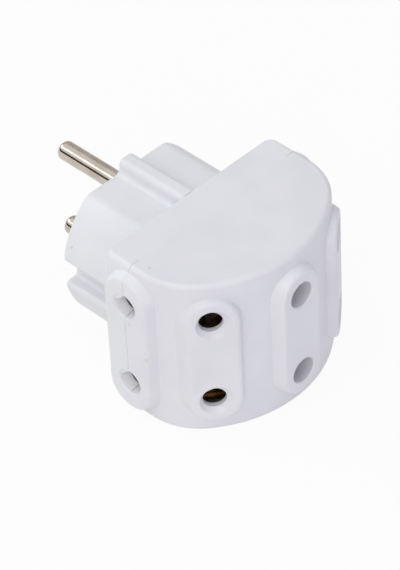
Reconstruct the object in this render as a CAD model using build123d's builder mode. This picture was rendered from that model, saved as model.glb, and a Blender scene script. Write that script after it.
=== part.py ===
import math
import os

from build123d import *

os.makedirs("parts", exist_ok=True)

# Frame: origin on the plug face midway between the pins, +Y the way the pins point, +Z up

# Plug pins
pin_diameter = 4.0
pin_spacing = 19.0
pin_reach = 17.6
pin_tip_radius = 1.2
pin_shank_diameter = 4.5
pin_flange_diameter = 5.2
pin_flange_thickness = 1.2
spigot_diameter = 2.6
spigot_head_diameter = 4.0
spigot_head_thickness = 0.9

# Plug body, which enters the wall socket's round recess
plug_depth = 16.8
plug_diameter = 35.7
plug_flat_height = 29.2
plug_corner_radius = 2.5
plug_rim_share = 0.875
plug_face_wall = 3.0
rib_width = 3.8
rib_top_inset = 0.5
rib_rounding_share = 0.4
groove_width = 5.0
groove_depth = 3.2
groove_edge_radius = 0.8

# Housing, a half-oval block split across its width at the seam
housing_width = 44.1
housing_height = 36.2
front_depth = 20.1
cover_depth = 6.65
side_straight = 3.3
corner_radius = 13.6
back_corner_radius = 2.0
edge_radius = 1.0
seam_break = 0.05
wall = 2.2

# Socket pads, five raised racetracks round the front
corner_pad_angle = 38.0
pad_height = 2.0
corner_pad_height = 1.3
pad_width = 9.6
end_pad_width = 10.3
corner_pad_inset = 3.5
front_pad_inset = 3.6
end_pad_inset = 2.2
pad_draft = 18.0
pad_edge_radius = 0.8
bore_diameter = 5.4
bore_edge = 0.25
corner_bore_diameter = 4.6
corner_mouth_diameter = 6.8
corner_mouth_depth = 1.1
corner_mouth_offset = 0.4
corner_face_wall = 2.1
end_face_wall = 2.6
chamber_width = 5.6
chamber_end_inset = 4.8
partition_thickness = 1.3
partition_reach = 1.5
pin_tube_diameter = 8.0

# Contact metal
strip_thickness = 0.8
strip_headroom = 1.4
strip_outer_inset = 4.6
strip_inner_inset = 11.0
strip_back_depth = 3.6
tab_width = 7.0
tab_below_pin = 3.4
clip_thickness = 0.5
clip_length = 5.5
clip_grip_gap = 3.7
clip_mouth_gap = 5.0
clip_shoulder_gap = 4.8
clip_below_pin = 3.2
clip_bend_radius = 0.6
rivet_diameter = 2.0
rivet_head_diameter = 3.4
rivet_head_thickness = 0.5

# Assembly screw and what it passes through
screw_diameter = 3.0
screw_length = 30.0
screw_tip_room = 0.6
screw_head_diameter = 5.6
screw_head_thickness = 2.0
screw_head_sink = 0.6
screw_recess_length = 3.2
screw_recess_width = 0.8
screw_recess_depth = 1.2
boss_diameter = 7.0
post_diameter = 2.6
post_pitch_angle = 23.5
post_ring_radius = 12.8
lip_length = 20.0
lip_reach = 1.5
lip_thickness = 0.9

# Clearances
pin_clearance = 0.05
rivet_clearance = 0.05
screw_clearance = 0.1
head_clearance = 0.25
lip_clearance = 0.1
clip_clearance = 0.6
partition_clearance = 0.2

# Places that follow from the sizes above
back_y = -plug_depth
seam_y = back_y - cover_depth
half_width = housing_width / 2
half_height = housing_height / 2
pin_height = pin_spacing / 2
pin_radius = pin_diameter / 2
shank_radius = pin_shank_diameter / 2
ceiling = half_height - wall
rib_height = housing_height - 2 * rib_top_inset
rib_rise = (rib_height - plug_flat_height) / 2
rib_edge_radius = rib_rounding_share * min(rib_rise, rib_width)
plug_rim_radius = plug_rim_share * min(rib_edge_radius, groove_edge_radius)
strip_top = ceiling - strip_headroom
strip_underside = strip_top - strip_thickness
strip_height_over_pin = strip_underside - pin_height
tab_back_y = seam_y + strip_back_depth
tube_end_y = tab_back_y + pin_flange_thickness
screw_seat_y = -screw_head_sink - screw_head_thickness
screw_end_y = screw_seat_y - screw_length
socket_angles = (-90.0, -corner_pad_angle, 0.0, corner_pad_angle, 90.0)
end_angles = (socket_angles[0], socket_angles[-1])
poles = (("upper", 1), ("lower", -1))
seam_plane = Plane(origin=(0, seam_y, 0), x_dir=(-1, 0, 0), z_dir=(0, 1, 0))

# The front outline is two corner arcs joined by one flatter arc that touches both
corner_x = half_width - corner_radius
corner_drop = front_depth - corner_radius
front_center = (corner_x**2 + side_straight**2 - corner_drop**2) / (2 * (corner_drop - side_straight))
front_radius = front_depth + front_center
corner_turn = math.degrees(math.atan2(side_straight + front_center, corner_x))


def half_oval(inset, height):
    """Outline of the housing in front of the seam, smaller all round by inset, at one height."""
    with BuildSketch(Plane.XY.offset(height)) as outline:
        with BuildLine():
            side = Line((half_width - inset, seam_y), (half_width - inset, seam_y - side_straight))
            right = JernArc(side @ 1, side % 1, corner_radius - inset, -corner_turn)
            front = JernArc(right @ 1, right % 1, front_radius - inset, 2 * corner_turn - 180)
            left = JernArc(front @ 1, front % 1, corner_radius - inset, -corner_turn)
            Polyline(left @ 1, (inset - half_width, seam_y), side @ 0)
        make_face()
    return outline.sketch


def socket_plane(angle, depth=0.0, height=0.0):
    """Plane of a socket pad's face, or one moved inwards by depth and up by height, facing outwards.

    The end pads stand on the straight sides at the seam, the others square on the front arc.
    """
    turn = math.radians(angle)
    outward = Vector(math.sin(turn), -math.cos(turn), 0)
    if angle in end_angles:
        center_y = seam_y
        reach = half_width + pad_height
    else:
        center_y = seam_y + front_center
        reach = front_radius + (corner_pad_height if angle else pad_height)
    center = Vector(0, center_y, height)
    return Plane(center + outward * (reach - depth), (math.cos(turn), math.sin(turn), 0), outward)


def seam_rims(block):
    """Edges round the flat face that a block shows at the seam."""
    return block.faces().filter_by(Axis.Y).sort_by(lambda face: abs(face.center().Y - seam_y))[0].edges()


partition_end = pad_height + wall + partition_reach
partition_height = 2 * (strip_underside - partition_clearance)
chamber_length = housing_height - 2 * chamber_end_inset
clip_start = partition_end + clip_clearance
clip_middle = clip_start + clip_length / 2
pad_planes = [socket_plane(angle) for angle in socket_angles]
end_pad_planes = [socket_plane(angle) for angle in end_angles]


def seam_side(angle):
    """The side on which a corner pad has the seam, -1 or 1, and nought for the other pads."""
    return 0 if angle in end_angles else (angle > 0) - (angle < 0)


def face_wall(angle):
    """Thickness of the plastic that a pad's pair of holes goes through, full only at the front."""
    if angle in end_angles:
        return end_face_wall
    return corner_face_wall if seam_side(angle) else pad_height + wall


def pad_block(angle):
    """One socket pad from its face to inside the wall, with a soft edge.

    A corner pad leans on the side nearer the seam, along the way the mould draws, and sits a little
    further from the seam than the pins do.
    """
    side = seam_side(angle)
    inset = corner_pad_inset if side else front_pad_inset
    width = pad_width
    if angle in end_angles:
        inset = end_pad_inset
        width = end_pad_width
    length = housing_height - 2 * inset
    depth = pad_height + wall / 2
    spread = depth * math.tan(math.radians(pad_draft))
    lean = abs(side) * (depth * math.tan(math.radians(corner_pad_angle)) - spread)
    with BuildPart() as block:
        with BuildSketch():
            with Locations((-side * corner_mouth_offset, 0)):
                SlotOverall(length, width, rotation=90)
        with BuildSketch(Plane.XY.offset(-depth)):
            with Locations((side * (lean / 2 - corner_mouth_offset), 0)):
                SlotOverall(length + 2 * spread, width + 2 * spread + lean, rotation=90)
        loft()
        fillet(block.faces().sort_by(Axis.Z)[-1].edges(), radius=pad_edge_radius)
    return block.part


def hole_block(angle):
    """One socket hole: a deep bore with a broken edge, or at a corner a funnel and a short bore."""
    side = seam_side(angle)
    mouth_depth = corner_mouth_depth if side else bore_edge
    bore_radius = (corner_bore_diameter if side else bore_diameter) / 2
    mouth_radius = corner_mouth_diameter / 2 if side else bore_radius + bore_edge
    with BuildPart() as block:
        with BuildSketch() as mouth:
            with Locations((-side * corner_mouth_offset, 0)):
                Circle(mouth_radius)
        with BuildSketch(Plane.XY.offset(-mouth_depth)):
            Circle(bore_radius)
        loft()
        extrude(mouth.sketch, amount=wall)
        with BuildSketch(Plane.XY.offset(-mouth_depth)):
            Circle(bore_radius)
        extrude(amount=mouth_depth - face_wall(angle) - partition_clearance)
    return block.part


def chamber_block(angle):
    """The room behind one pad's pair of holes, from the wall that holds them to the partitions' ends."""
    with BuildPart() as block:
        with BuildSketch(Plane.XY.offset(-face_wall(angle))):
            SlotOverall(chamber_length, chamber_width, rotation=90)
        extrude(amount=face_wall(angle) - partition_end)
    return block.part


# Front shell: half-oval cup with pads, partitions beside the holes, strip posts and the screw boss
with BuildPart() as front_shell:
    extrude(half_oval(0, -half_height), amount=housing_height)
    rims = front_shell.faces().filter_by(Axis.Z).edges()
    fillet(rims.filter_by(lambda rim: rim.center().Y < seam_y - seam_break), radius=edge_radius)
    for plane, angle in zip(pad_planes, socket_angles):
        with Locations(plane):
            add(pad_block(angle))
    split(bisect_by=seam_plane, keep=Keep.BOTTOM)
    chamfer(seam_rims(front_shell), length=seam_break)
    extrude(half_oval(wall, -ceiling), amount=2 * ceiling, mode=Mode.SUBTRACT)
    with BuildSketch(*[plane.offset(-partition_end) for plane in pad_planes]):
        with GridLocations(chamber_width + partition_thickness, 0, 2, 1):
            Rectangle(partition_thickness, partition_height)
    extrude(amount=partition_reach + wall / 2)
    with BuildSketch(seam_plane):
        Circle(boss_diameter / 2)
    extrude(amount=wall / 2 - front_depth)
    for side in (-1, 1):
        with BuildSketch(Plane.XY.offset(side * strip_top)):
            for step in (-3, -1, 1, 3):
                turn = math.radians(step * post_pitch_angle)
                spot = (post_ring_radius * math.sin(turn), seam_y - post_ring_radius * math.cos(turn))
                with Locations(spot):
                    Circle(post_diameter / 2)
        extrude(amount=side * (ceiling - strip_top + wall / 2))
    for plane, angle in zip(pad_planes, socket_angles):
        with Locations(plane):
            add(chamber_block(angle), mode=Mode.SUBTRACT)
            with GridLocations(0, pin_spacing, 1, 2):
                add(hole_block(angle), mode=Mode.SUBTRACT)
    with BuildSketch(seam_plane):
        Circle(screw_diameter / 2 + screw_clearance)
    extrude(amount=screw_end_y - screw_tip_room - seam_y, mode=Mode.SUBTRACT)
    split(bisect_by=seam_plane, keep=Keep.BOTTOM)
front_shell.part.label = "front_shell"
export_step(front_shell.part, "parts/front_shell.step")

# Rear cover: flat back with the plug body, half of each end pad, and tubes for the pins and screw
with BuildPart() as rear_cover:
    with BuildSketch(Plane.XY.offset(-half_height)) as back:
        with BuildLine():
            Polyline(
                (half_width, seam_y),
                (half_width, back_y),
                (-half_width, back_y),
                (-half_width, seam_y),
                close=True,
            )
        make_face()
        fillet(back.vertices().group_by(Axis.Y)[-1], radius=back_corner_radius)
    extrude(amount=housing_height)
    rims = rear_cover.faces().filter_by(Axis.Z).edges()
    fillet(rims.filter_by(lambda rim: rim.center().Y > seam_y + seam_break), radius=edge_radius)
    with BuildSketch(Plane.XZ) as plug:
        Circle(plug_diameter / 2)
        Rectangle(plug_diameter, plug_flat_height, mode=Mode.INTERSECT)
        fillet(plug.vertices(), radius=plug_corner_radius)
        Rectangle(rib_width, rib_height)
        fillet(plug.vertices().filter_by(lambda corner: abs(corner.X) < rib_width), radius=rib_edge_radius)
        with GridLocations(plug_diameter, 0, 2, 1):
            Rectangle(2 * groove_depth, groove_width, mode=Mode.SUBTRACT)
        grooves = plug.vertices().filter_by(lambda corner: abs(corner.Y) < groove_width)
        fillet(grooves, radius=groove_edge_radius)
    extrude(amount=plug_depth)
    fillet(rear_cover.faces().sort_by(Axis.Y)[-1].edges(), radius=plug_rim_radius)
    for plane, angle in zip(end_pad_planes, end_angles):
        with Locations(plane):
            add(pad_block(angle))
    split(bisect_by=seam_plane, keep=Keep.TOP)
    chamfer(seam_rims(rear_cover), length=seam_break)
    with BuildSketch(seam_plane):
        Rectangle(housing_width - 2 * wall, 2 * ceiling)
    extrude(amount=cover_depth - wall, mode=Mode.SUBTRACT)
    with BuildSketch(seam_plane):
        Circle(plug_diameter / 2 - wall)
        room = plug_diameter - 2 * (groove_depth + wall)
        Rectangle(room, plug_flat_height - 2 * wall, mode=Mode.INTERSECT)
    extrude(amount=-seam_y - plug_face_wall, mode=Mode.SUBTRACT)
    for plane, side in zip(end_pad_planes, (-1, 1)):
        with BuildSketch(plane.offset(-partition_end)):
            with Locations((side * (chamber_width + partition_thickness) / 2, 0)):
                Rectangle(partition_thickness, partition_height)
        extrude(amount=partition_reach + wall / 2)
    with BuildSketch(Plane.XZ.offset(plug_face_wall / 2)):
        with GridLocations(0, pin_spacing, 1, 2):
            Circle(pin_tube_diameter / 2)
    extrude(amount=-tube_end_y - plug_face_wall / 2)
    with BuildSketch(Plane.XZ.offset(plug_face_wall / 2)):
        Circle(boss_diameter / 2)
    extrude(amount=-seam_y - plug_face_wall / 2)
    for plane, angle in zip(end_pad_planes, end_angles):
        with Locations(plane):
            add(chamber_block(angle), mode=Mode.SUBTRACT)
            with GridLocations(0, pin_spacing, 1, 2):
                add(hole_block(angle), mode=Mode.SUBTRACT)
    with BuildSketch(Plane.XZ):
        with GridLocations(0, pin_spacing, 1, 2):
            Circle(shank_radius + pin_clearance)
    extrude(amount=-seam_y, mode=Mode.SUBTRACT)
    with BuildSketch(Plane.XZ):
        Circle(screw_diameter / 2 + screw_clearance)
    extrude(amount=-seam_y, mode=Mode.SUBTRACT)
    with BuildSketch(Plane.XZ):
        Circle(screw_head_diameter / 2 + head_clearance)
    extrude(amount=-screw_seat_y, mode=Mode.SUBTRACT)
    lip_height = ceiling - lip_clearance - lip_thickness / 2
    with BuildSketch(seam_plane.offset(cover_depth - wall)):
        with GridLocations(0, 2 * lip_height, 1, 2):
            Rectangle(lip_length, lip_thickness)
    extrude(amount=wall - cover_depth - lip_reach)
rear_cover.part.label = "rear_cover"
export_step(rear_cover.part, "parts/rear_cover.step")

# Plug pins: turned, with a thicker shank inside the plug, a flange, and a spigot riveted in the strip's tab
for pole, side in poles:
    with BuildPart() as plug_pin:
        spigot_end_y = tab_back_y - strip_thickness - spigot_head_thickness
        pin_axis = Axis((0, 0, side * pin_height), (0, 1, 0))
        with BuildSketch(Plane(pin_axis.position, (0, 1, 0), (1, 0, 0))) as half_section:
            with BuildLine():
                Polyline(
                    (pin_reach, 0),
                    (pin_reach, pin_radius),
                    (0, pin_radius),
                    (0, shank_radius),
                    (tube_end_y, shank_radius),
                    (tube_end_y, pin_flange_diameter / 2),
                    (tab_back_y, pin_flange_diameter / 2),
                    (tab_back_y, spigot_diameter / 2),
                    (tab_back_y - strip_thickness, spigot_diameter / 2),
                    (tab_back_y - strip_thickness, spigot_head_diameter / 2),
                    (spigot_end_y, spigot_head_diameter / 2),
                    (spigot_end_y, 0),
                    close=True,
                )
            make_face()
            tip = half_section.vertices().sort_by_distance((pin_reach, pin_radius))[0]
            fillet(tip, radius=pin_tip_radius)
        revolve(axis=pin_axis)
    plug_pin.part.label = f"plug_pin_{pole}"
    export_step(plug_pin.part, f"parts/plug_pin_{pole}.step")

# Contact strips: a flat brass loop for each pole, with a tab bent down to meet the plug pin
for pole, side in poles:
    with BuildPart() as strip:
        level = side * strip_underside
        extrude(half_oval(strip_outer_inset, level), amount=side * strip_thickness)
        extrude(half_oval(strip_inner_inset, level), amount=side * strip_thickness, mode=Mode.SUBTRACT)
        with BuildSketch(Plane.XY.offset(level)):
            with Locations((0, seam_y)):
                Rectangle(
                    housing_width - 2 * strip_outer_inset,
                    strip_back_depth,
                    align=(Align.CENTER, Align.MIN),
                )
        extrude(amount=side * strip_thickness)
        with BuildSketch(seam_plane.offset(strip_back_depth)):
            with Locations((0, side * strip_top)):
                Rectangle(
                    tab_width,
                    strip_top - pin_height + tab_below_pin,
                    align=(Align.CENTER, Align.MAX if side > 0 else Align.MIN),
                )
            with Locations((0, side * pin_height)):
                Circle(spigot_diameter / 2 + rivet_clearance, mode=Mode.SUBTRACT)
        extrude(amount=-strip_thickness)
        with Locations(*[socket_plane(angle, clip_middle) for angle in socket_angles]):
            Cylinder(
                rivet_diameter / 2 + rivet_clearance,
                housing_height,
                rotation=(90, 0, 0),
                mode=Mode.SUBTRACT,
            )
    strip.part.label = f"contact_strip_{pole}"
    export_step(strip.part, f"parts/contact_strip_{pole}.step")

# Socket clips: folded brass springs that hang from the strip and grip a pin from both sides
for pole, side in poles:
    for number, angle in enumerate(socket_angles, start=1):
        with BuildPart() as clip:
            bridge = strip_height_over_pin - clip_thickness / 2
            shoulder = (clip_shoulder_gap + clip_thickness) / 2
            grip = (clip_grip_gap + clip_thickness) / 2
            mouth = (clip_mouth_gap + clip_thickness) / 2
            with BuildSketch(socket_plane(angle, clip_start, side * pin_height)):
                with BuildLine():
                    FilletPolyline(
                        (-mouth, -side * clip_below_pin),
                        (-grip, 0),
                        (-shoulder, side * bridge),
                        (shoulder, side * bridge),
                        (grip, 0),
                        (mouth, -side * clip_below_pin),
                        radius=clip_bend_radius,
                    )
                trace(line_width=clip_thickness)
            extrude(amount=-clip_length)
            with Locations(socket_plane(angle, clip_middle)):
                with Locations((0, side * strip_underside)):
                    Cylinder(
                        rivet_diameter / 2 + rivet_clearance,
                        2 * strip_height_over_pin,
                        rotation=(90, 0, 0),
                        mode=Mode.SUBTRACT,
                    )
        clip.part.label = f"socket_clip_{pole}_{number}"
        export_step(clip.part, f"parts/socket_clip_{pole}_{number}.step")

# Clip rivets: one through each strip and clip, with a flat head on both sides
with BuildPart() as rivets:
    stack = strip_thickness + clip_thickness
    for pole, side in poles:
        with Locations(*[socket_plane(angle, clip_middle) for angle in socket_angles]):
            with Locations((0, side * (strip_top - stack / 2))):
                Cylinder(rivet_diameter / 2, stack, rotation=(90, 0, 0))
            for head in (-1, 1):
                rise = head * (stack + rivet_head_thickness) / 2
                with Locations((0, side * (strip_top - stack / 2 + rise))):
                    Cylinder(rivet_head_diameter / 2, rivet_head_thickness, rotation=(90, 0, 0))
rivets.part.label = "clip_rivets"
export_step(rivets.part, "parts/clip_rivets.step")

# Assembly screw: sunk in the plug face between the pins, reaching into the front shell's boss
with BuildPart() as screw:
    with BuildSketch(Plane.YZ):
        with BuildLine():
            Polyline(
                (-screw_head_sink, 0),
                (-screw_head_sink, screw_head_diameter / 2),
                (screw_seat_y, screw_head_diameter / 2),
                (screw_seat_y, screw_diameter / 2),
                (screw_end_y + screw_diameter / 2, screw_diameter / 2),
                (screw_end_y, 0),
                close=True,
            )
        make_face()
    revolve(axis=Axis.Y)
    with BuildSketch(Plane.XZ.offset(screw_head_sink)):
        Rectangle(screw_recess_length, screw_recess_width)
        Rectangle(screw_recess_width, screw_recess_length)
    extrude(amount=screw_recess_depth, mode=Mode.SUBTRACT)
screw.part.label = "assembly_screw"
export_step(screw.part, "parts/assembly_screw.step")
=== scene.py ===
import math
import random

import bmesh
import bpy
from mathutils import Matrix, Vector


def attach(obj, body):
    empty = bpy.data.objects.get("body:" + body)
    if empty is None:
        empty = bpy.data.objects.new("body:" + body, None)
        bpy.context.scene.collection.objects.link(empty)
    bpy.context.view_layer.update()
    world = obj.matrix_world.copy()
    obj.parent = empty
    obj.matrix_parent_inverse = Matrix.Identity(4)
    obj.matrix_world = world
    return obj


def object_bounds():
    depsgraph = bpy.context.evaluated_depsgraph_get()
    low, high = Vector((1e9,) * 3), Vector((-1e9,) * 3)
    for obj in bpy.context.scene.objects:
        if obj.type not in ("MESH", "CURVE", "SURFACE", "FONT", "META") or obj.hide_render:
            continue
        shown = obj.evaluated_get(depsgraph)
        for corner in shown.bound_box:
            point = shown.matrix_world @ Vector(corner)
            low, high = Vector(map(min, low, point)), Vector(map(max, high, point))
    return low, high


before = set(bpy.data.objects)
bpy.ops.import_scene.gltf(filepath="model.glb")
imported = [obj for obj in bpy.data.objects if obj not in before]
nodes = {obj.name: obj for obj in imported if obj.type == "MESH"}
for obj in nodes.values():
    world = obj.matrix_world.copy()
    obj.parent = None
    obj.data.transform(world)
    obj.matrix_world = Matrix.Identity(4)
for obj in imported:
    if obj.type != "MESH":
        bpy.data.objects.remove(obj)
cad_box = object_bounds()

# Rear cover: the flat back with the plug body and half of each end pad, moulded in one white plastic piece.
# It is the first piece on the bench, and everything else is laid into it.
cover_tint = (0.80, 0.805, 0.84)
cover_shade = (0.765, 0.77, 0.805)
speck_brown = (0.30, 0.27, 0.25)
speck_reach = 0.045
speck_rarity = 0.93
# The rub colour stains both real scuffs and painted shadows.
rub_and_shadow_brown = (0.26, 0.23, 0.21)
plastic_ior = 1.49
# Each scuff has its place on the piece, its reach and how dark it is.
cover_scuffs = [((-0.0167, -0.0018, 0.0064), 0.0004, 1.0)]


def link(tree, source, output, target, socket):
    """Joins one node's output to another node's input."""
    tree.links.new(source.outputs[output], target.inputs[socket])


def mottle(tree, place, output, scale, detail):
    """Cloudy unevenness over a surface, finer where the scale is larger."""
    clouds = tree.nodes.new("ShaderNodeTexNoise")
    clouds.inputs["Scale"].default_value = scale
    clouds.inputs["Detail"].default_value = detail
    link(tree, place, output, clouds, "Vector")
    return clouds


def two_tone(tree, clouds, dark, light, dark_until, light_from):
    """Colour that runs from a dark tone to a light one with the clouds."""
    tones = tree.nodes.new("ShaderNodeValToRGB")
    tones.color_ramp.elements[0].position = dark_until
    tones.color_ramp.elements[0].color = (*dark, 1.0)
    tones.color_ramp.elements[1].position = light_from
    tones.color_ramp.elements[1].color = (*light, 1.0)
    link(tree, clouds, "Fac", tones, "Fac")
    return tones


def uneven_shine(tree, clouds, surface, least, most):
    """Lets a surface's roughness follow the clouds, from the least cloudy to the most."""
    shine = tree.nodes.new("ShaderNodeMapRange")
    shine.inputs["To Min"].default_value = least
    shine.inputs["To Max"].default_value = most
    link(tree, clouds, "Fac", shine, "Value")
    link(tree, shine, "Result", surface, "Roughness")


def relief(tree, clouds, strength, depth):
    """Small ups and downs that follow the clouds."""
    bumps = tree.nodes.new("ShaderNodeBump")
    bumps.inputs["Strength"].default_value = strength
    bumps.inputs["Distance"].default_value = depth
    link(tree, clouds, "Fac", bumps, "Height")
    return bumps


def reckon(tree, operation, first, second):
    """One sum on two outputs, or on an output and a number."""
    result = tree.nodes.new("ShaderNodeMath")
    result.operation = operation
    for side, value in enumerate((first, second)):
        if isinstance(value, float):
            result.inputs[side].default_value = value
        else:
            tree.links.new(value, result.inputs[side])
    return result.outputs["Value"]


def stain(tree, coat, colour, amount):
    """A coat of colour with a stain over it, as strong at each place as the amount says."""
    stained = tree.nodes.new("ShaderNodeMix")
    stained.data_type = "RGBA"
    stained.inputs["B"].default_value = (*colour, 1.0)
    tree.links.new(amount, stained.inputs["Factor"])
    tree.links.new(coat, stained.inputs["A"])
    return stained.outputs["Result"]


def white_moulding(name, tint, shade, scuffs_and_shadows):
    """White plastic from a worn steel mould: flow clouds, spark grain, dark specks, rubbed marks and painted
    shadows.
    """
    material = bpy.data.materials.new(name)
    material.use_nodes = True
    tree = material.node_tree
    surface = tree.nodes["Principled BSDF"]
    surface.inputs["IOR"].default_value = plastic_ior
    place = tree.nodes.new("ShaderNodeTexCoord")

    flow = mottle(tree, place, "Object", scale=90.0, detail=3.0)
    coat = two_tone(tree, flow, shade, tint, dark_until=0.30, light_from=0.62).outputs["Color"]

    cells = tree.nodes.new("ShaderNodeTexVoronoi")
    cells.inputs["Scale"].default_value = 230.0
    link(tree, place, "Object", cells, "Vector")
    near = reckon(tree, "LESS_THAN", cells.outputs["Distance"], speck_reach)
    rare = reckon(tree, "GREATER_THAN", cells.outputs["Color"], speck_rarity)
    coat = stain(tree, coat, speck_brown, reckon(tree, "MULTIPLY", near, rare))

    crumbs = mottle(tree, place, "Object", scale=2600.0, detail=3.0)
    # Each spot darkens the coat round a place: a rubbed scuff, or a painted shadow where the list gives one.
    for spot, reach, darkness in scuffs_and_shadows:
        away = tree.nodes.new("ShaderNodeVectorMath")
        away.operation = "DISTANCE"
        away.inputs[1].default_value = spot
        link(tree, place, "Object", away, 0)
        fade = tree.nodes.new("ShaderNodeMapRange")
        fade.inputs["From Min"].default_value = reach
        fade.inputs["From Max"].default_value = 0.0
        fade.inputs["To Max"].default_value = darkness
        link(tree, away, "Value", fade, "Value")
        patchy = reckon(tree, "MULTIPLY", fade.outputs["Result"], crumbs.outputs["Fac"])
        coat = stain(tree, coat, rub_and_shadow_brown, patchy)
    tree.links.new(coat, surface.inputs["Base Color"])

    patches = mottle(tree, place, "Object", scale=260.0, detail=4.0)
    uneven_shine(tree, patches, surface, least=0.36, most=0.52)

    grain = mottle(tree, place, "Object", scale=3200.0, detail=2.0)
    fine = relief(tree, grain, strength=0.10, depth=0.00003)
    waves = mottle(tree, place, "Object", scale=160.0, detail=1.0)
    sink = relief(tree, waves, strength=0.25, depth=0.0003)
    link(tree, fine, "Normal", sink, "Normal")
    link(tree, sink, "Normal", surface, "Normal")
    return material


def dress(name, material):
    """Puts one finish on all of a CAD node's faces."""
    mesh = nodes[name].data
    mesh.materials.clear()
    mesh.materials.append(material)


dress("rear_cover", white_moulding("cover plastic", cover_tint, cover_shade, cover_scuffs))

# Plug pins: turned brass, nickel plated, pushed through the plug face and riveted to the strips' tabs.
# Use has left fine scratches along them and a dull, slightly warm plating.
nickel_light = (0.58, 0.52, 0.46)
nickel_dark = (0.51, 0.45, 0.39)
nickel_scratches = (1300.0, 800.0, 1300.0)


def plated_metal(name, light, dark, smooth, rough, scratching):
    """Metal with cloudy wear in its colour and shine, and scratches drawn out along one direction."""
    material = bpy.data.materials.new(name)
    material.use_nodes = True
    tree = material.node_tree
    surface = tree.nodes["Principled BSDF"]
    surface.inputs["Metallic"].default_value = 1.0
    place = tree.nodes.new("ShaderNodeTexCoord")

    wear = mottle(tree, place, "Object", scale=420.0, detail=5.0)
    colour = two_tone(tree, wear, dark, light, dark_until=0.35, light_from=0.60)
    link(tree, colour, "Color", surface, "Base Color")
    uneven_shine(tree, wear, surface, least=rough, most=smooth)

    drawn = tree.nodes.new("ShaderNodeMapping")
    drawn.inputs["Scale"].default_value = scratching
    link(tree, place, "Object", drawn, "Vector")
    scratches = mottle(tree, drawn, "Vector", scale=1.0, detail=3.0)
    lines = relief(tree, scratches, strength=0.25, depth=0.00004)
    link(tree, lines, "Normal", surface, "Normal")
    return material


nickel = plated_metal(
    "nickel plate", nickel_light, nickel_dark, smooth=0.10, rough=0.15, scratching=nickel_scratches
)
for pole in ("upper", "lower"):
    dress(f"plug_pin_{pole}", nickel)

# Contact strips: flat brass loops stamped from sheet, one for each pole, with a tab bent to the pin.
# They lie against the posts inside the front shell and have dulled to brown.
strip_light = (0.46, 0.31, 0.14)
strip_dark = (0.24, 0.15, 0.07)
strip_scratches = (900.0, 900.0, 90.0)

strip_brass = plated_metal(
    "strip brass", strip_light, strip_dark, smooth=0.30, rough=0.55, scratching=strip_scratches
)
for pole in ("upper", "lower"):
    dress(f"contact_strip_{pole}", strip_brass)

# Socket clips: folded from thin spring brass, each hung from its strip behind one socket hole.
# Their arms grip the pin of the plug that is pushed in.
clip_light = (0.40, 0.27, 0.13)
clip_dark = (0.20, 0.12, 0.06)
clip_scratches = (1200.0, 1200.0, 120.0)
pad_count = 5

clip_brass = plated_metal(
    "clip brass", clip_light, clip_dark, smooth=0.32, rough=0.58, scratching=clip_scratches
)
for pole in ("upper", "lower"):
    for pad in range(1, pad_count + 1):
        dress(f"socket_clip_{pole}_{pad}", clip_brass)

# Clip rivets: short lengths of brass wire, one through each strip and clip.
# Both ends are headed flat, which leaves them a little brighter than the sheet.
rivet_light = (0.50, 0.34, 0.16)
rivet_dark = (0.28, 0.18, 0.08)
rivet_scratches = (800.0, 800.0, 800.0)

rivet_brass = plated_metal(
    "rivet brass", rivet_light, rivet_dark, smooth=0.28, rough=0.50, scratching=rivet_scratches
)
dress("clip_rivets", rivet_brass)

# Front shell: the half-oval cup with the socket pads, moulded in the same white plastic.
# It closes over the contact metal and meets the rear cover at the seam.
shell_tint = (0.80, 0.795, 0.84)
shell_shade = (0.76, 0.755, 0.805)
# The last spot is a painted shadow: the shade under a small chip at the seam, below the upper hole of the
# left end pad.
shell_scuffs_and_chip_shadow = [
    ((-0.0199, -0.0265, 0.0181), 0.0005, 0.50),
    ((-0.0239, -0.0284, -0.0009), 0.0006, 0.35),
    ((-0.0240, -0.0282, 0.0007), 0.0004, 0.30),
    ((-0.0240, -0.0246, 0.0058), 0.0006, 0.40),
]

dress("front_shell", white_moulding("shell plastic", shell_tint, shell_shade, shell_scuffs_and_chip_shadow))

# Assembly screw: zinc plated steel, headed from wire, with a cross in its head.
# It is sunk in the plug face between the pins and holds the two halves together.
zinc_light = (0.58, 0.58, 0.60)
zinc_dark = (0.40, 0.40, 0.42)
zinc_scratches = (1500.0, 1500.0, 1500.0)

zinc = plated_metal("zinc plate", zinc_light, zinc_dark, smooth=0.22, rough=0.42, scratching=zinc_scratches)
dress("assembly_screw", zinc)

# Seam flash: a thin skin of white plastic, squeezed into the seam where the halves were pressed together.
# It closes the seam's fine groove along the top and leaves the ends of the seam open.
seam_y = -0.02345
seam_groove = 0.00005
top_z = cad_box[1].z
flash_half_length = 0.0196
flash_steps = 70
flash_least_sink = 0.000003
flash_most_sink = 0.000008


def swept_piece(name, outlines, material):
    """A closed piece drawn through like outlines, one after another, and fixed to the adapter."""
    count = len(outlines[0])
    points = [point for outline in outlines for point in outline]
    faces = [tuple(range(count)), tuple(range(len(points) - count, len(points)))]
    for start in range(0, len(points) - count, count):
        for corner in range(count):
            after = (corner + 1) % count
            faces.append((start + corner, start + count + corner, start + count + after, start + after))
    mesh = bpy.data.meshes.new(name)
    mesh.from_pydata(points, [], faces)
    shape = bmesh.new()
    shape.from_mesh(mesh)
    bmesh.ops.recalc_face_normals(shape, faces=shape.faces)
    shape.to_mesh(mesh)
    shape.free()
    mesh.materials.append(material)
    piece = bpy.data.objects.new(name, mesh)
    bpy.context.scene.collection.objects.link(piece)
    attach(piece, "root")


def seam_filling(name, path, least_sink, most_sink, material, seed):
    """A three-cornered bead in the seam's groove, along places that each have an outward direction."""
    chance = random.Random(seed)
    outlines = []
    for x, z, out_x, out_z in path:
        sink = chance.uniform(least_sink, most_sink)
        half = seam_groove - sink
        outline = []
        for across, depth in ((-half, sink), (half, sink), (0.0, seam_groove)):
            outline.append((x - out_x * depth, seam_y + across, z - out_z * depth))
        outlines.append(outline)
    swept_piece(name, outlines, material)


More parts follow.
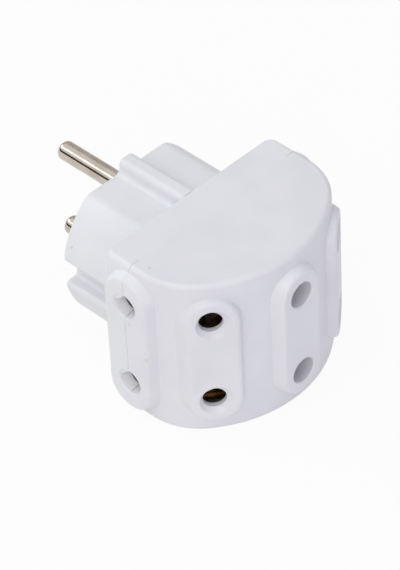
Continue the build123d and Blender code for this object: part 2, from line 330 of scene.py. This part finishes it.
def straight_run(begin, end, out_x, out_z, steps):
    """Places along one straight length of the seam, from begin to end, each given as x and z."""
    run = []
    for step in range(steps + 1):
        share = step / steps
        x = begin[0] + (end[0] - begin[0]) * share
        z = begin[1] + (end[1] - begin[1]) * share
        run.append((x, z, out_x, out_z))
    return run


flash_white = white_moulding("flash plastic", cover_tint, shell_tint, [])
flash_run = straight_run((-flash_half_length, top_z), (flash_half_length, top_z), 0.0, 1.0, flash_steps)
seam_filling("seam_flash", flash_run, flash_least_sink, flash_most_sink, flash_white, seed=4)

# Bore flash: ragged webs of the same plastic that hang into the two holes of the left end pad,
# left on the rear cover's half of the mould where it no longer closes tightly.
bore_radius = 0.00269
bore_height = 0.0095
web_front_x = -0.02374
web_back_x = -0.02358
web_turn_from = 10.0
web_turn_to = 89.0
web_steps = 30
web_arch_from = 0.04
web_arch_span = 0.92
web_arch_fullness = 0.8
web_least_share = 0.72
upper_web_hang = 0.00110
lower_web_hang = 0.00080


def bore_point(x, radius, turn, middle_z):
    """A place in one of the left end pad's holes, at a radius and a turn about the hole's middle line."""
    return (x, seam_y + radius * math.cos(turn), middle_z + radius * math.sin(turn))


def bore_web(name, middle_z, hang, seed):
    """A thin web along the upper rear of one bore, deepest at its middle, with a torn inner edge."""
    chance = random.Random(seed)
    outlines = []
    for step in range(web_steps + 1):
        share = step / web_steps
        turn = math.radians(web_turn_from + (web_turn_to - web_turn_from) * share)
        arch = math.sin(math.pi * (web_arch_from + web_arch_span * share))
        depth = hang * arch ** web_arch_fullness
        inner = bore_radius - depth * chance.uniform(web_least_share, 1.0)
        outlines.append(
            [
                bore_point(web_front_x, bore_radius, turn, middle_z),
                bore_point(web_front_x, inner, turn, middle_z),
                bore_point(web_back_x, inner, turn, middle_z),
                bore_point(web_back_x, bore_radius, turn, middle_z),
            ]
        )
    swept_piece(name, outlines, flash_white)


bore_web("bore_flash_upper", bore_height, upper_web_hang, seed=11)
bore_web("bore_flash_lower", -bore_height, lower_web_hang, seed=23)

# Bore skins: a skin of the same plastic on the low sides of those two holes, thin at the mouth and thicker
# inside.
# It is coloured much whiter than the shell, which is painted light on the shaded walls of the holes.
# It stops at the seam, and a plug's pin still passes it.
skin_front_x = -0.02379
skin_back_x = -0.02155
skin_painted_light_tint = (0.93, 0.93, 0.96)
skin_painted_light_dim = (0.90, 0.90, 0.94)
skin_lip = 0.00003
skin_least_share = 0.93
skin_tear = 3.0
skin_rows = 14
skin_steps = 40
rear_skin_turns = (-89.0, 9.0)
rear_skin_thickness = 0.00050
front_skin_turns = (-161.0, -91.0)
front_skin_thickness = 0.00030


def bore_skin(name, middle_z, turns, thickness, seed):
    """A skin along part of one bore, with a rough face and a torn edge at the start of its turn."""
    chance = random.Random(seed)
    torn_edge = [turns[0] + chance.uniform(0.0, skin_tear) for row in range(skin_rows + 1)]
    outlines = []
    for step in range(skin_steps + 1):
        face = []
        back = []
        for row in range(skin_rows + 1):
            depth = row / skin_rows
            x = skin_front_x + (skin_back_x - skin_front_x) * depth
            turn = math.radians(torn_edge[row] + (turns[1] - torn_edge[row]) * step / skin_steps)
            rise = skin_lip + thickness * depth * chance.uniform(skin_least_share, 1.0)
            face.append(bore_point(x, bore_radius - rise, turn, middle_z))
            back.append(bore_point(x, bore_radius, turn, middle_z))
        outlines.append(face + back[::-1])
    swept_piece(name, outlines, skin_painted_light)


# Painted light: the skin's colours are far whiter than the shell's, to lighten the shaded hole walls.
skin_painted_light = white_moulding("skin plastic with painted light", skin_painted_light_tint, skin_painted_light_dim, [])
for pole, middle_z, seed in (("upper", bore_height, 31), ("lower", -bore_height, 37)):
    bore_skin(f"bore_skin_{pole}_rear", middle_z, rear_skin_turns, rear_skin_thickness, seed)
    bore_skin(f"bore_skin_{pole}_front", middle_z, front_skin_turns, front_skin_thickness, seed + 1)

# Painted seam shade: a grey bead in the open lengths of the seam that paints the shade of the gap, at both
# ends of the top and down the face of the left end pad, between its holes and above them.
wall_x = 0.02205
edge_radius = 0.001
pad_face_x = -0.02405
seam_shade_light = (0.60, 0.585, 0.57)
seam_shade_dark = (0.40, 0.385, 0.37)
seam_shade_roughness = 0.95
seam_shade_least_sink = 0.000004
top_seam_shade_most_sink = 0.000015
top_seam_shade_steps = 10
pad_seam_shade_most_sink = 0.000020
pad_seam_shade_steps = 40
pad_seam_shade_lengths = (("seam_shade_middle", 0.0064, -0.0064, 7), ("seam_shade_upper", 0.0152, 0.0126, 8))

# Painted shade: these greys colour the bead as the shade that lies in the seam gap.
seam_shade = bpy.data.materials.new("painted seam shade")
seam_shade.use_nodes = True
tree = seam_shade.node_tree
seam_shade_surface = tree.nodes["Principled BSDF"]
seam_shade_surface.inputs["Roughness"].default_value = seam_shade_roughness
seam_shade_clouds = mottle(tree, tree.nodes.new("ShaderNodeTexCoord"), "Object", scale=700.0, detail=4.0)
greys = two_tone(tree, seam_shade_clouds, seam_shade_dark, seam_shade_light, dark_until=0.35, light_from=0.65)
link(tree, greys, "Color", seam_shade_surface, "Base Color")


def top_end(side, steps):
    """Places from one end of the flash to the rounded edge of the top, and over that edge to the wall."""
    middle_x = side * (wall_x - edge_radius)
    middle_z = top_z - edge_radius
    run = straight_run((side * flash_half_length, top_z), (middle_x, top_z), 0.0, 1.0, steps)
    for step in range(1, steps + 1):
        turn = math.pi / 2 * step / steps
        out_x = side * math.sin(turn)
        out_z = math.cos(turn)
        run.append((middle_x + out_x * edge_radius, middle_z + out_z * edge_radius, out_x, out_z))
    return run


for name, side, seed in (("seam_shade_left", -1, 5), ("seam_shade_right", 1, 6)):
    run = top_end(side, top_seam_shade_steps)
    seam_filling(name, run, seam_shade_least_sink, top_seam_shade_most_sink, seam_shade, seed)
for name, high, low, seed in pad_seam_shade_lengths:
    run = straight_run((pad_face_x, high), (pad_face_x, low), -1.0, 0.0, pad_seam_shade_steps)
    seam_filling(name, run, seam_shade_least_sink, pad_seam_shade_most_sink, seam_shade, seed)

# Table: a wide sheet of matt white paper, level with the base that the adapter stands on.
# The camera and the metal see it almost white, and it still takes the adapter's shadow.
table_size = 6.0
table_height = cad_box[0].z
table_tone = (0.86, 0.86, 0.86)
table_roughness = 0.9
table_glow_share = 0.92

corners = [(-1, -1), (1, -1), (1, 1), (-1, 1)]
sheet = bpy.data.meshes.new("table")
sheet.from_pydata(
    [(x * table_size / 2, y * table_size / 2, table_height) for x, y in corners], [], [(0, 1, 2, 3)]
)
table = bpy.data.objects.new("table", sheet)
bpy.context.scene.collection.objects.link(table)


def seen_directly(tree):
    """One where a ray comes from the camera or off metal or glass, otherwise nought."""
    path = tree.nodes.new("ShaderNodeLightPath")
    first = reckon(tree, "MAXIMUM", path.outputs["Is Camera Ray"], path.outputs["Is Glossy Ray"])
    return reckon(tree, "MAXIMUM", first, path.outputs["Is Transmission Ray"])


paper = bpy.data.materials.new("table paper")
paper.use_nodes = True
tree = paper.node_tree
matt = tree.nodes["Principled BSDF"]
matt.inputs["Base Color"].default_value = (*table_tone, 1.0)
matt.inputs["Roughness"].default_value = table_roughness
glow = tree.nodes.new("ShaderNodeEmission")
glow.inputs["Strength"].default_value = 1.0
blend = tree.nodes.new("ShaderNodeMixShader")
tree.links.new(reckon(tree, "MULTIPLY", seen_directly(tree), table_glow_share), blend.inputs["Fac"])
link(tree, matt, "BSDF", blend, 1)
link(tree, glow, "Emission", blend, 2)
link(tree, blend, "Shader", tree.nodes["Material Output"], "Surface")
sheet.materials.append(paper)

# Room and lamps: white walls, with five square panels of soft light above the adapter and round it.
# A small sixth panel lights only what shines, and draws the bright line along the pins.
wall_tone = (1.0, 0.965, 0.97)
wall_strength = 0.49
backdrop_tone = (1.0, 1.0, 1.0)
lamp_aim = Vector((0.0, -0.02, 0.0))
lamp_size = 0.60
lamps = (
    ("key light", (-0.60, -0.10, 0.70), 1.90, (0.95, 0.99, 0.95)),
    ("top light", (0.0, 0.0, 0.95), 1.45, (0.90, 0.98, 0.97)),
    ("side light", (-0.55, -0.62, 0.30), 1.20, (1.0, 0.98, 0.95)),
    ("fill light", (0.20, -0.85, 0.35), 0.50, (0.42, 0.56, 1.0)),
    ("back light", (-0.20, 0.85, 0.42), 2.35, (0.82, 0.90, 0.97)),
)
pin_lamp_place = (-0.27, 0.34, 0.45)
pin_lamp_size = 0.12
pin_lamp_power = 0.11
pin_lamp_colour = (1.0, 0.98, 0.95)

room = bpy.data.worlds.new("studio")
bpy.context.scene.world = room
room.use_nodes = True
tree = room.node_tree
walls = tree.nodes["Background"]
walls.inputs["Color"].default_value = (*wall_tone, 1.0)
walls.inputs["Strength"].default_value = wall_strength
backdrop = tree.nodes.new("ShaderNodeBackground")
backdrop.inputs["Color"].default_value = (*backdrop_tone, 1.0)
backdrop.inputs["Strength"].default_value = 1.0
either = tree.nodes.new("ShaderNodeMixShader")
tree.links.new(seen_directly(tree), either.inputs["Fac"])
link(tree, walls, "Background", either, 1)
link(tree, backdrop, "Background", either, 2)
link(tree, either, "Shader", tree.nodes["World Output"], "Surface")


def soft_box(name, place, size, power, colour):
    """A square light panel that faces the adapter."""
    panel = bpy.data.lights.new(name, "AREA")
    panel.shape = "SQUARE"
    panel.size = size
    panel.energy = power
    panel.color = colour
    lamp = bpy.data.objects.new(name, panel)
    lamp.location = place
    lamp.rotation_euler = (lamp_aim - Vector(place)).to_track_quat("-Z", "Y").to_euler()
    lamp.visible_camera = False
    bpy.context.scene.collection.objects.link(lamp)
    return lamp


for name, place, power, colour in lamps:
    soft_box(name, place, lamp_size, power, colour)
pin_lamp = soft_box("pin light", pin_lamp_place, pin_lamp_size, pin_lamp_power, pin_lamp_colour)
pin_lamp.visible_diffuse = False

# Screens: two bent felt cards that stand round the adapter, a black one and a pale grey one.
# Only shiny pieces mirror them, so the pins get dark and grey sides as in a real room.
screen_steps = 32


def mirrored_screen(name, radius, turns, heights, tone):
    """A card bent round the adapter, from one turn to another, that throws no shadow."""
    points = []
    for step in range(screen_steps + 1):
        turn = math.radians(turns[0] + (turns[1] - turns[0]) * step / screen_steps)
        for height in heights:
            points.append((radius * math.cos(turn), radius * math.sin(turn), height))
    bands = [(2 * k, 2 * k + 2, 2 * k + 3, 2 * k + 1) for k in range(screen_steps)]
    card = bpy.data.meshes.new(name)
    card.from_pydata(points, [], bands)
    felt = bpy.data.materials.new(name)
    felt.use_nodes = True
    cloth = felt.node_tree.nodes["Principled BSDF"]
    cloth.inputs["Base Color"].default_value = (*tone, 1.0)
    cloth.inputs["Roughness"].default_value = 1.0
    card.materials.append(felt)
    screen = bpy.data.objects.new(name, card)
    bpy.context.scene.collection.objects.link(screen)
    screen.visible_camera = False
    screen.visible_diffuse = False
    screen.visible_transmission = False
    screen.visible_shadow = False


mirrored_screen(
    "dark screen", radius=0.35, turns=(95.0, 205.0), heights=(0.030, 0.135), tone=(0.012, 0.010, 0.009)
)
mirrored_screen(
    "grey screen", radius=0.50, turns=(-60.0, 88.0), heights=(0.0, 0.55), tone=(0.72, 0.70, 0.67)
)

# Camera: stands on the socket side, to the left, and looks down on the adapter through a long lens.
# It leans a few degrees to one side.
camera_place = Vector((-0.32718, -0.36248, 0.42516))
camera_aim = Vector((-0.00002, -0.01866, -0.00421))
camera_lean = math.radians(-3.1247)
camera_lens = 213.03
camera_nearest = 0.01

lens = bpy.data.cameras.new("camera")
lens.lens = camera_lens
lens.clip_start = camera_nearest
camera = bpy.data.objects.new("camera", lens)
facing = (camera_aim - camera_place).to_track_quat("-Z", "Y").to_matrix().to_4x4()
camera.matrix_world = Matrix.Translation(camera_place) @ facing @ Matrix.Rotation(camera_lean, 4, "Z")
bpy.context.scene.collection.objects.link(camera)
bpy.context.scene.camera = camera
bpy.context.scene.view_settings.view_transform = "Standard"
